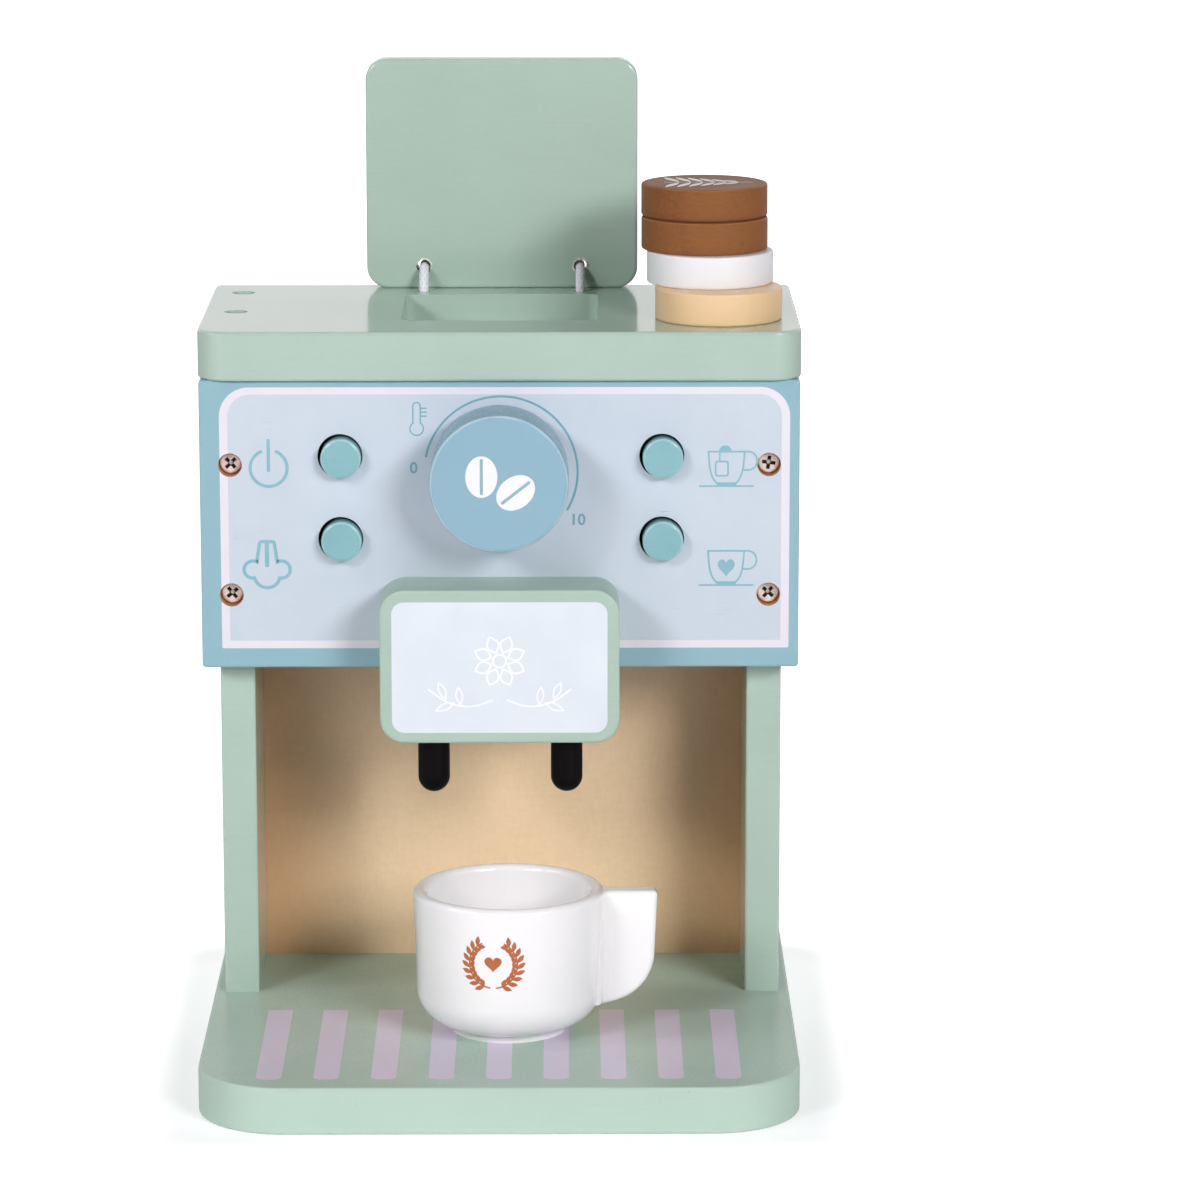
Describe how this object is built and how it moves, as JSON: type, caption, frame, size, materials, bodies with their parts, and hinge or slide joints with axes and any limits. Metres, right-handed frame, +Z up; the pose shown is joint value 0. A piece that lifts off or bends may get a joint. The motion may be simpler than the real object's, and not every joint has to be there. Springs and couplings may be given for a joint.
{
  "type": "toy coffee maker",
  "caption": "Wooden play coffee machine with a turning knob, push buttons, spouts, a cord-hinged lid over a pocket, stacked play discs and a cup.",
  "frame": {"origin": "middle of the base board's underside", "axes": "+Z up, +X to the right seen from the front, +Y to the back"},
  "size_m": [0.175, 0.183, 0.2836],
  "materials": {
    "mint_paint": "semi-gloss lacquer on board",
    "blue_paint": "satin paint, with a printed pale panel on the front board",
    "aqua_paint": "satin paint",
    "beige_board": "matt beige board",
    "raw_wood": "bare turned wood",
    "black_paint": "matt black paint",
    "nickel_steel": "nickel plated",
    "spring_steel": "drawn wire",
    "white_cord": "braided elastic cord",
    "white_lacquer": "high-gloss white lacquer",
    "brown_paint": "satin brown paint",
    "white_paint": "satin white paint",
    "natural_wood": "clear lacquer"
  },
  "bodies": {
    "machine": {"base_board": "mint_paint", "left_wall": "mint_paint", "right_wall": "mint_paint", "inner_back_panel": "beige_board", "spring_backing_board": "beige_board", "front_board": "blue_paint", "top_plate": "mint_paint", "hinge_cord_ends": "white_cord", "hinge_cord_strands": "white_cord", "dispenser_block": "mint_paint", "left_spout": "black_paint", "right_spout": "black_paint", "front_board_screws": "nickel_steel", "top_plate_screws": "nickel_steel", "top_plate_plugs": "mint_paint", "base_screws": "nickel_steel", "dispenser_screws": "nickel_steel", "spring_left_upper": "spring_steel", "spring_left_lower": "spring_steel", "spring_right_upper": "spring_steel", "spring_right_lower": "spring_steel"},
    "lid": {"lid": "mint_paint", "hinge_cord_loop": "white_cord"},
    "knob": {"knob": "blue_paint", "knob_axle": "raw_wood", "knob_washer": "nickel_steel", "knob_screw": "nickel_steel"},
    "button_left_upper": {"button_left_upper": "aqua_paint", "collar_left_upper": "black_paint"},
    "button_left_lower": {"button_left_lower": "aqua_paint", "collar_left_lower": "black_paint"},
    "button_right_upper": {"button_right_upper": "aqua_paint", "collar_right_upper": "black_paint"},
    "button_right_lower": {"button_right_lower": "aqua_paint", "collar_right_lower": "black_paint"},
    "disc_natural": {"disc_natural": "natural_wood"},
    "disc_white": {"disc_white": "white_paint"},
    "disc_brown": {"disc_brown": "brown_paint"},
    "disc_rosetta": {"disc_rosetta": "brown_paint"},
    "cup": {"cup": "white_lacquer"}
  },
  "joints": [
    {"name": "lid_hinge", "type": "hinge", "parent": "machine", "child": "lid", "pos_m": [0, 0.0823, 0.2139], "axis": [1, 0, 0], "range_deg": [0, 90], "deforming": ["hinge_cord_strands"]},
    {"name": "knob_turn", "type": "hinge", "parent": "machine", "child": "knob", "pos_m": [0, 0, 0.1727], "axis": [0, 1, 0], "continuous": true},
    {"name": "push_left_upper", "type": "slide", "parent": "machine", "child": "button_left_upper", "axis": [0, 1, 0], "range_m": [0, 0.0035], "stiffness_N_per_m": 200, "springref_m": -0.003, "deforming": ["spring_left_upper"]},
    {"name": "push_left_lower", "type": "slide", "parent": "machine", "child": "button_left_lower", "axis": [0, 1, 0], "range_m": [0, 0.0035], "stiffness_N_per_m": 200, "springref_m": -0.003, "deforming": ["spring_left_lower"]},
    {"name": "push_right_upper", "type": "slide", "parent": "machine", "child": "button_right_upper", "axis": [0, 1, 0], "range_m": [0, 0.0035], "stiffness_N_per_m": 200, "springref_m": -0.003, "deforming": ["spring_right_upper"]},
    {"name": "push_right_lower", "type": "slide", "parent": "machine", "child": "button_right_lower", "axis": [0, 1, 0], "range_m": [0, 0.0035], "stiffness_N_per_m": 200, "springref_m": -0.003, "deforming": ["spring_right_lower"]},
    {"name": "lift_disc_natural", "type": "slide", "parent": "machine", "child": "disc_natural", "axis": [0, 0, 1], "range_m": [0, 0.04]},
    {"name": "lift_disc_white", "type": "slide", "parent": "disc_natural", "child": "disc_white", "axis": [0, 0, 1], "range_m": [0, 0.04]},
    {"name": "lift_disc_brown", "type": "slide", "parent": "disc_white", "child": "disc_brown", "axis": [0, 0, 1], "range_m": [0, 0.04]},
    {"name": "lift_disc_rosetta", "type": "slide", "parent": "disc_brown", "child": "disc_rosetta", "axis": [0, 0, 1], "range_m": [0, 0.04]},
    {"name": "slide_cup", "type": "slide", "parent": "machine", "child": "cup", "axis": [0, -1, 0], "range_m": [0, 0.12]}
  ]
}
